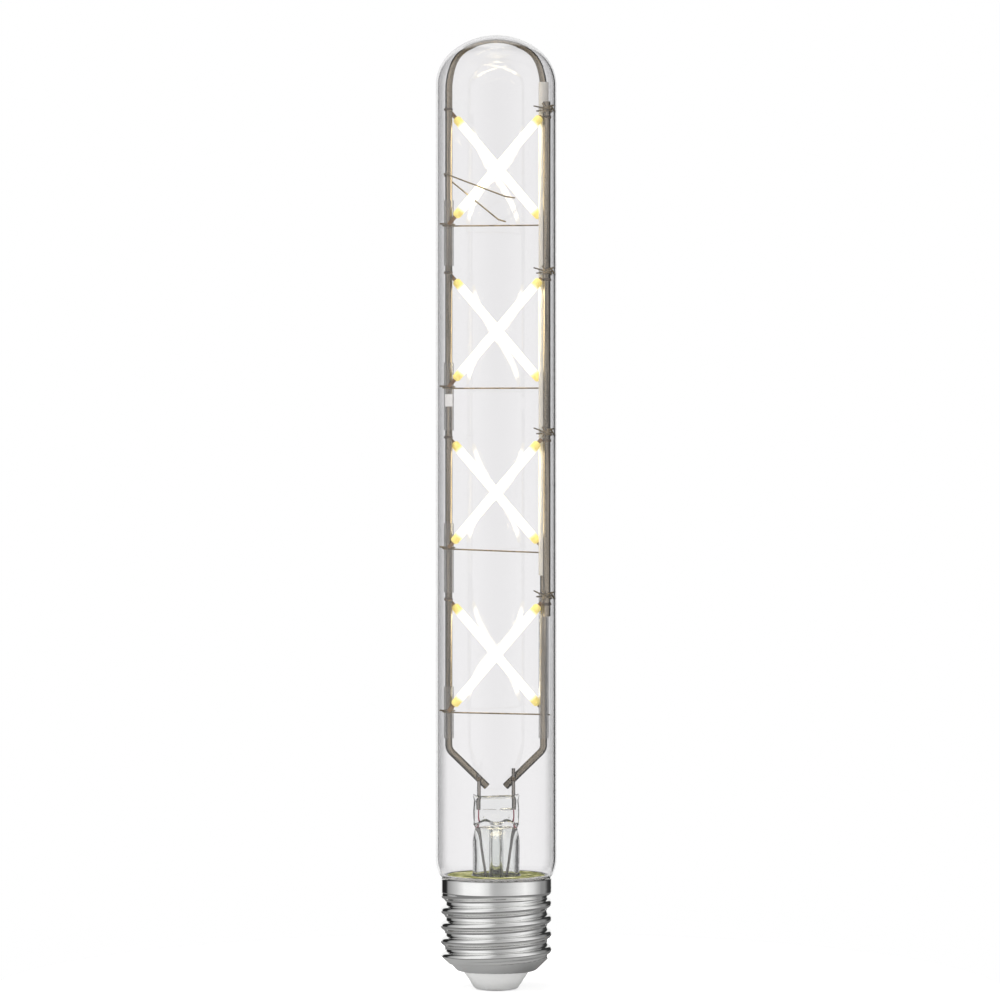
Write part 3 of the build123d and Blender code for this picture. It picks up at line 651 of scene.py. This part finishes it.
# Thin wires: soft wire wound by hand. Cross wires hold the foot of each cross to the sleeves,
# ties bind the third rod to the right sleeve, and a spring wire steadies the top cross.
thin_metal = metal("thin wire metal", (0.11, 0.085, 0.05), (0.34, 0.27, 0.17), (0.25, 0.4), 1200)
thin_width, thin_sides = 0.36, 10
turn_height = 0.42
quarter = turn_height / 4
wrap, cross_stub, cross_bend, hook_y = 1.38, 0.7, 1.15, -0.3
for i in range(4):
    top = left_tie_heights[i] + turn_height / 2
    hook = right_tab_heights[i] - turn_height
    cross_run = [
        (-frame_x - wrap - cross_stub, -wrap, top),
        (-frame_x + wrap, -wrap, top - quarter),
        (-frame_x + wrap, wrap, top - 2 * quarter),
        (-frame_x - wrap, wrap, top - 3 * quarter),
        (-frame_x - wrap, -wrap, top - 4 * quarter),
        (-frame_x + wrap, -wrap, top - 5 * quarter),
        (frame_x - wrap, wrap, hook),
        (frame_x + wrap, wrap, hook),
        (frame_x + wrap, hook_y, hook),
    ]
    wire_piece(
        f"cross_{i + 1}",
        cross_run,
        thin_width,
        cross_bend,
        thin_metal,
        "thin_wire",
        f"cross_wire_{i + 1}",
        sides=thin_sides,
    )
tie_above, tie_bend, twist_bend = 1.3, 0.95, 0.3
tie_start_rise, tie_end_drop = 0.9, 0.8
tie_corners = [
    (-2.4, -1.53),
    (3.1, -1.05),
    (3.1, 1.05),
    (-1.53, 1.53),
    (-1.53, -1.53),
    (3.1, -1.05),
    (3.1, 1.05),
    (-2.4, 1.53),
]
tie_twists = [
    [(3.05, -1.5, 1.1), (3.3, -0.5, -0.4), (3.3, 0.5, 0.5), (3.05, 1.5, -1.0)],
    [(2.9, -1.35, -1.2), (3.4, -0.2, 0.4), (3.0, 1.4, 0.7)],
]
pair_way = Vector((common_x - frame_x, common_y, 0)).normalized()
pair_side = Vector((0, 0, 1)).cross(pair_way)
for i, rising_height in enumerate(rising_heights):
    foot = Vector((frame_x, 0, rising_height + tie_above + turn_height))
    tie_run = [
        foot + pair_way * x + pair_side * y - Vector((0, 0, k * quarter))
        for k, (x, y) in enumerate(tie_corners)
    ]
    tie_run[0].z += tie_start_rise
    tie_run[-1].z -= tie_end_drop
    tie_bm = bmesh.new()
    draw_wire(tie_bm, tie_run, thin_width, [tie_bend] * (len(tie_run) - 2), sides=thin_sides)
    for twist in tie_twists:
        twist_run = [foot + pair_way * x + pair_side * y + Vector((0, 0, z)) for x, y, z in twist]
        draw_wire(tie_bm, twist_run, thin_width, [twist_bend] * (len(twist) - 2), sides=thin_sides)
    finished_piece(tie_bm, f"tie_{i + 1}", [thin_metal], "thin_wire", f"tie_wire_{i + 1}")
spring_wrap, spring_drop, spring_bend = 1.05, 1.7, 0.9
top_cross = cross_heights[0]
spring_run = [
    (4.4, -5.0, top_cross - 7.6),
    (2.1, -4.45, top_cross - 7.2),
    (-frame_x - spring_wrap, -spring_wrap, top_cross - spring_drop + turn_height / 2),
    (-frame_x - spring_wrap, spring_wrap, top_cross - spring_drop - turn_height / 2),
    (0.5, 3.1, top_cross - 12.1),
    (2.3, 3.4, top_cross - 12.6),
]
wire_piece(
    "spring", spring_run, thin_width, spring_bend, thin_metal, "thin_wire", "spring_wire", sides=thin_sides
)


# Bulb: one tube of clear glass, closed to a dome in the flame and turned in at the foot,
# where it is fused to the rim of the stem. The wall is even, and its surface waves a little.
def draw_arcs(bm, end, arcs):
    for centre, angle, steps in arcs:
        arc = bmesh.ops.spin(
            bm,
            geom=[end],
            cent=Vector(centre) * mm,
            axis=(0, 1, 0),
            angle=math.radians(angle),
            steps=steps,
        )
        end = [g for g in arc["geom_last"] if isinstance(g, bmesh.types.BMVert)][0]
    return end


bulb_glass = clear_glass("bulb glass", (0.935, 0.93, 0.935), 60, 0.004)
bulb_top, tube_low, foot_inner, wall_thickness = 225.0, 31.1, 11.62, 0.55
dome_arcs = [((0, 0, 208.5), 38.682, 14), ((3.75, 0, 213.18375), 51.318, 16)]
foot_arcs = [((4.5, 0, tube_low), 22.62, 8), ((12.0, 0, 27.975), 53.13, 8)]
bulb_bm = bmesh.new()
line_end = draw_arcs(bulb_bm, bulb_bm.verts.new((0, 0, bulb_top * mm)), dome_arcs)
line_end = bmesh.ops.extrude_vert_indiv(bulb_bm, verts=[line_end])["verts"][0]
line_end.co.z = tube_low * mm
line_end = draw_arcs(bulb_bm, line_end, foot_arcs)
line_end = bmesh.ops.extrude_vert_indiv(bulb_bm, verts=[line_end])["verts"][0]
line_end.co.x = foot_inner * mm
spin_round(bulb_bm, 128)
bulb = finished_piece(bulb_bm, "bulb", [bulb_glass], "envelope_glass", "glass_envelope", crease=60)
bulb_wall = bulb.modifiers.new("wall", "SOLIDIFY")
bulb_wall.thickness = wall_thickness * mm
bulb_wall.offset = -1
bulb_wall.use_even_offset = True


# Basing cement: olive ring of baked cement that bonds the glass foot into the cap. Its top shows
# through the foot of the glass, mottled where it has bubbled. The sloped outer edge is painted pale
# as a highlight, with a band of painted gap shade above it.
cement_edge_painted_highlight = two_tone("cement edge painted highlight", (0.6, 0.6, 0.57), (0.85, 0.85, 0.82), 500, 0.5, 0.02)
cement_line = [
    (6.1, 26.38),
    (11.5, 26.38),
    (11.66, 26.0),
    (12.0, 25.2),
    (12.75, 24.6),
    (12.75, 23.38),
    (6.1, 23.38),
]
gap_shade_beyond, highlight_beyond = 11.54, 11.65
cement_bm = turned(cement_line, 64, closed=True)
# Beyond the olive top: a thin band of painted gap shade, then the painted highlight on the slope.
for face in cement_bm.faces:
    out = face.calc_center_median().xy.length / mm
    if out > gap_shade_beyond:
        face.material_index = 1 if out > highlight_beyond else 2
finished_piece(cement_bm, "cement_ring", [cement, cement_edge_painted_highlight, gap_painted_shade], "cement", "basing_cement")


# Driver: a small round board with its rectifier, chip, capacitor and fuse resistor,
# soldered to the tail wires above it and to the cap below and beside it. The cap hides it.
board_green = two_tone("board lacquer", (0.01, 0.07, 0.03), (0.02, 0.13, 0.05), 300, 0.4, 0.02)
package_black = two_tone("package moulding", (0.008, 0.008, 0.009), (0.02, 0.02, 0.022), 900, 0.5, 0.02)
capacitor_dark = two_tone("capacitor sleeve", (0.006, 0.006, 0.01), (0.016, 0.016, 0.026), 500, 0.3, 0.01)
resistor_green = two_tone("resistor lacquer", (0.07, 0.16, 0.1), (0.13, 0.25, 0.17), 600, 0.35, 0.02)
hookup_tin = metal("hookup tin", (0.42, 0.4, 0.37), (0.62, 0.6, 0.56), (0.25, 0.4), 800)
for node, finish in (
    ("driver_board", board_green),
    ("bridge_rectifier", package_black),
    ("driver_chip", package_black),
    ("smoothing_capacitor", capacitor_dark),
    ("fuse_resistor", resistor_green),
    ("live_wire", hookup_tin),
    ("neutral_wire", hookup_tin),
):
    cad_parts[node].material_slots[0].material = finish


# Insulator and centre contact: a white moulded cone under the lip of the cap, and the tinned
# plate pressed into its foot. Both have their lower edge rounded.
def edges_at(bm, height, beyond):
    return [
        e
        for e in bm.edges
        if all(abs(v.co.z - height * mm) < 1e-6 and v.co.xy.length > beyond * mm for v in e.verts)
    ]


white_moulding = two_tone("white moulding", (0.93, 0.93, 0.92), (0.97, 0.97, 0.96), 500, 0.35, 0.01)
contact_tin = metal("contact tin", (0.5, 0.49, 0.46), (0.7, 0.69, 0.66), (0.25, 0.45), 600)
insulator_low, insulator_round, insulator_inner = 0.2, 0.4, 4.5
insulator_line = [
    (0.32, 0.52),
    (3.65, 0.52),
    (3.65, insulator_low),
    (5.0, insulator_low),
    (7.65, 4.1),
    (7.65, 4.95),
    (8.75, 4.95),
    (8.75, 6.45),
    (0.32, 6.45),
]
insulator_bm = turned(insulator_line, 96, closed=True)
round_edges(insulator_bm, edges_at(insulator_bm, insulator_low, insulator_inner), insulator_round, 6)
finished_piece(insulator_bm, "insulator_cone", [white_moulding], "insulator_white", "insulator")
contact_radius, contact_height, contact_round, contact_inner = 3.6, 0.5, 0.18, 3
contact_line = [(0, 0), (contact_radius, 0), (contact_radius, contact_height), (0, contact_height)]
contact_bm = turned(contact_line, 64)
round_edges(contact_bm, edges_at(contact_bm, 0, contact_inner), contact_round, 4)
finished_piece(contact_bm, "contact_plate", [contact_tin], "contact_metal", "centre_contact")


# Screw shell: thin sheet drawn to a cup, its round thread rolled in and its foot turned in
# under the insulator. Bright nickel plate. The glass foot stands in its plain skirt, and the
# thread runs out on the cone below.
nickel = metal("nickel plate", (0.92, 0.92, 0.91), (0.97, 0.97, 0.96), (0.04, 0.08), 180, (1, 1, 3))
crest_radius = 13.1
thread_pitch, thread_round, thread_start, last_turn = 3.629, 1.025, 5.97, 4
crease_blend, row_height = 0.16, 0.105
runout_radius, runout_height, runout_slope = 9.3, 4.4, 1.054
crest_centre = crest_radius - thread_round
root_centre = crest_centre + math.sqrt(4 * thread_round**2 - (thread_pitch / 2) ** 2)
shell_outside = [
    (7.7, 4.5156),
    (8.95, 4.5425),
    (9.2, 4.58),
    (9.4, 4.665),
    (9.56, 4.82),
    (11.6, 7.15),
    (11.82, 7.5),
    (11.96, 7.95),
    (12.0, 8.4),
    (12.0, 21.55),
    (12.08, 21.82),
    (12.3, 22.12),
    (12.84, 22.6),
    (13.05, 22.86),
    (13.15, 23.15),
    (13.15, 26.0),
    (13.1, 26.18),
    (12.98, 26.3),
]
shell_inside = [
    (12.8, 26.2),
    (12.8, 23.25),
    (11.65, 22.0),
    (11.65, 8.6),
    (11.35, 7.5),
    (9.35, 5.05),
    (9.0, 4.9),
    (7.7, 4.87),
]
shell_bm = bmesh.new()
join_up(shell_bm, [shell_bm.verts.new((r * mm, 0, z * mm)) for r, z in shell_outside])
while long_edges := [e for e in shell_bm.edges if e.calc_length() > row_height * mm]:
    bmesh.ops.subdivide_edges(shell_bm, edges=long_edges, cuts=1)
outer_layer = shell_bm.verts.layers.float.new("outer")
for v in shell_bm.verts:
    v[outer_layer] = 1
shell_ends = [v for v in shell_bm.verts if len(v.link_edges) == 1]
shell_ends.sort(key=lambda v: v.co.z)
shell_back = [shell_bm.verts.new((r * mm, 0, z * mm)) for r, z in shell_inside]
join_up(shell_bm, [shell_ends[1], *shell_back, shell_ends[0]])
spin_round(shell_bm, 256)
for v in shell_bm.verts:
    if v[outer_layer] < 0.5:
        continue
    radius, height = v.co.xy.length / mm, v.co.z / mm
    way = math.atan2(v.co.y, v.co.x) % math.tau / math.tau
    turns = min(max(round((height - thread_start) / thread_pitch - way), 0), last_turn)
    off = abs(height - thread_start - (turns + way) * thread_pitch)
    if off < thread_pitch / 4:
        ridge = crest_centre + math.sqrt(thread_round**2 - off**2)
    elif off < thread_pitch / 2:
        ridge = root_centre - math.sqrt(thread_round**2 - (thread_pitch / 2 - off) ** 2)
    else:
        ridge = 0
    ridge = min(ridge, runout_radius + (height - runout_height) * runout_slope)
    blend = max(crease_blend - abs(radius - ridge), 0)
    wide = max(radius, ridge) + blend**2 / (4 * crease_blend)
    v.co.x *= wide / radius
    v.co.y *= wide / radius
finished_piece(shell_bm, "shell", [nickel], "cap_metal", "screw_shell", crease=60)


# Studio: a pale floor, which the metal shows as grey, a white ground behind, broad soft light from
# both sides with a dark gap between each side and the ground, and the photograph's level camera.
floor_radius = 0.12
floor_bm = bmesh.new()
bmesh.ops.create_circle(floor_bm, cap_ends=True, segments=64, radius=floor_radius)
floor_mesh = bpy.data.meshes.new("floor")
floor_bm.to_mesh(floor_mesh)
floor_bm.free()
floor = bpy.data.objects.new("floor", floor_mesh)
bpy.context.collection.objects.link(floor)
floor_white, floor_nodes, floor_links = new_finish("floor white")
floor_surface = floor_nodes["Principled BSDF"]
floor_surface.inputs["Roughness"].default_value = 0.9
floor_surface.inputs["Specular IOR Level"].default_value = 0.0
floor_surface.inputs["Emission Color"].default_value = (1, 1, 1, 1)
floor_rays = floor_nodes.new("ShaderNodeLightPath")
floor_place = floor_nodes.new("ShaderNodeTexCoord")
floor_away = add_node(floor_nodes, "ShaderNodeVectorMath", operation="LENGTH")
# Painted reflection: for glossy rays only, the floor is grey: 0.41 within 2 cm of the middle and 0.2 beyond
# 3.5 cm, as shade seen in the metal.
reflected_floor_shade = add_node(
    floor_nodes,
    "ShaderNodeMapRange",
    {"From Min": 0.02, "From Max": 0.035, "To Min": 0.41, "To Max": 0.2},
)
floor_reflection_tone = add_node(floor_nodes, "ShaderNodeMix", data_type="RGBA")
floor_reflection_tone.inputs["A"].default_value = (0.94, 0.94, 0.94, 1)
floor_seen = add_node(floor_nodes, "ShaderNodeMath", operation="MAXIMUM")
floor_level = add_node(floor_nodes, "ShaderNodeMath", {1: 0.6}, operation="MULTIPLY")
floor_links.new(floor_place.outputs["Object"], floor_away.inputs[0])
floor_links.new(floor_away.outputs["Value"], reflected_floor_shade.inputs["Value"])
floor_links.new(reflected_floor_shade.outputs["Result"], floor_reflection_tone.inputs["B"])
floor_links.new(floor_rays.outputs["Is Glossy Ray"], floor_reflection_tone.inputs["Factor"])
floor_links.new(floor_reflection_tone.outputs["Result"], floor_surface.inputs["Base Color"])
floor_links.new(floor_rays.outputs["Is Camera Ray"], floor_seen.inputs[0])
floor_links.new(floor_rays.outputs["Is Transmission Ray"], floor_seen.inputs[1])
floor_links.new(floor_seen.outputs["Value"], floor_level.inputs[0])
floor_links.new(floor_level.outputs["Value"], floor_surface.inputs["Emission Strength"])
floor_mesh.materials.append(floor_white)

world = bpy.context.scene.world or bpy.data.worlds.new("studio")
bpy.context.scene.world = world
world.use_nodes = True
sky, sky_links = world.node_tree.nodes, world.node_tree.links
left_stops = [
    (0.0, 1.0),
    (0.05, 1.0),
    (0.075, 0.02),
    (0.21, 0.02),
    (0.27, 0.3),
    (0.5, 0.6),
    (0.68, 0.95),
    (0.9, 1.0),
    (0.945, 0.92),
    (0.98, 0.76),
    (1.0, 0.48),
]
right_stops = [
    (0.0, 1.0),
    (0.03, 0.9),
    (0.042, 0.03),
    (0.15, 0.05),
    (0.2, 0.16),
    (0.24, 0.26),
    (0.35, 0.28),
    (0.46, 0.5),
    (0.56, 0.75),
    (0.73, 0.97),
    (0.86, 0.78),
    (0.96, 0.58),
    (1.0, 0.48),
]
upward_stops = [(0.0, 0.6), (0.25, 0.6), (0.4, 1.0), (1.0, 0.85)]
open_stops = [(0.21, 0.0), (0.3, 1.0), (0.85, 1.0), (0.95, 0.6)]
ramps = []
for stops in (left_stops, right_stops, upward_stops, open_stops):
    ramps.append(sky.new("ShaderNodeValToRGB"))
    paint_ramp(ramps[-1], [(position, (value, value, value)) for position, value in stops])
left_side, right_side, upward, open_way = ramps
ground = sky["Background"]
ground.inputs["Strength"].default_value = 1.0
look = sky.new("ShaderNodeTexCoord")
flat = add_node(sky, "ShaderNodeVectorMath", {1: (1, 1, 0)}, operation="MULTIPLY")
level = add_node(sky, "ShaderNodeVectorMath", operation="NORMALIZE")
toward = add_node(sky, "ShaderNodeVectorMath", {1: (0, -1, 0)}, operation="DOT_PRODUCT")
share = add_node(sky, "ShaderNodeMapRange", {"From Min": -1})
split = sky.new("ShaderNodeSeparateXYZ")
on_right = add_node(sky, "ShaderNodeMath", {1: 0.0}, operation="GREATER_THAN")
both_sides = add_node(sky, "ShaderNodeMix", data_type="RGBA")
rise = add_node(sky, "ShaderNodeMapRange", {"From Min": -1})
tint = add_node(sky, "ShaderNodeMix", {"Factor": 1.0}, data_type="RGBA", blend_type="MULTIPLY")
sky_rays = sky.new("ShaderNodeLightPath")
below = add_node(sky, "ShaderNodeMapRange", {"From Min": 0.42, "From Max": 0.3})
clear_way = add_node(sky, "ShaderNodeMath", operation="MAXIMUM")
through = add_node(sky, "ShaderNodeMath", operation="MULTIPLY")
bright = add_node(sky, "ShaderNodeMath", operation="MAXIMUM")
backdrop = add_node(sky, "ShaderNodeMix", {"B": (1, 1, 1, 1)}, data_type="RGBA")
sky_links.new(look.outputs["Generated"], flat.inputs[0])
sky_links.new(flat.outputs["Vector"], level.inputs[0])
sky_links.new(level.outputs["Vector"], toward.inputs[0])
sky_links.new(toward.outputs["Value"], share.inputs["Value"])
for ramp in (left_side, right_side, open_way):
    sky_links.new(share.outputs["Result"], ramp.inputs["Fac"])
sky_links.new(look.outputs["Generated"], split.inputs["Vector"])
sky_links.new(split.outputs["X"], on_right.inputs[0])
sky_links.new(on_right.outputs["Value"], both_sides.inputs["Factor"])
sky_links.new(left_side.outputs["Color"], both_sides.inputs["A"])
sky_links.new(right_side.outputs["Color"], both_sides.inputs["B"])
sky_links.new(split.outputs["Z"], rise.inputs["Value"])
sky_links.new(rise.outputs["Result"], upward.inputs["Fac"])
sky_links.new(both_sides.outputs["Result"], tint.inputs["A"])
sky_links.new(upward.outputs["Color"], tint.inputs["B"])
sky_links.new(rise.outputs["Result"], below.inputs["Value"])
sky_links.new(open_way.outputs["Color"], clear_way.inputs[0])
sky_links.new(below.outputs["Result"], clear_way.inputs[1])
sky_links.new(clear_way.outputs["Value"], through.inputs[0])
sky_links.new(sky_rays.outputs["Is Transmission Ray"], through.inputs[1])
sky_links.new(through.outputs["Value"], bright.inputs[0])
sky_links.new(sky_rays.outputs["Is Camera Ray"], bright.inputs[1])
sky_links.new(bright.outputs["Value"], backdrop.inputs["Factor"])
sky_links.new(tint.outputs["Result"], backdrop.inputs["A"])
sky_links.new(backdrop.outputs["Result"], ground.inputs["Color"])

softbox_light = bpy.data.lights.new("overhead softbox", "AREA")
softbox_light.shape = "DISK"
softbox_light.size = 0.7
softbox_light.energy = 6.5
softbox_aim = Vector((0, 0, 0.1))
softbox = bpy.data.objects.new("overhead softbox", softbox_light)
softbox.location = (-0.25, -0.35, 0.95)
softbox.rotation_euler = (softbox_aim - softbox.location).to_track_quat("-Z", "Y").to_euler()
softbox.visible_glossy = False
softbox.visible_transmission = False
bpy.context.collection.objects.link(softbox)

camera_data = bpy.data.cameras.new("camera")
camera_data.lens = 145
camera_data.sensor_width = 36
camera = bpy.data.objects.new("camera", camera_data)
camera.location = (0.0009, -0.9506, 0.1154)
camera.rotation_euler = (math.pi / 2, 0, 0)
bpy.context.collection.objects.link(camera)
bpy.context.scene.camera = camera
bpy.context.scene.view_settings.view_transform = "Standard"
light_bounces = 24
bpy.context.scene.cycles.max_bounces = light_bounces
bpy.context.scene.cycles.transmission_bounces = light_bounces
bpy.context.scene.cycles.transparent_max_bounces = light_bounces
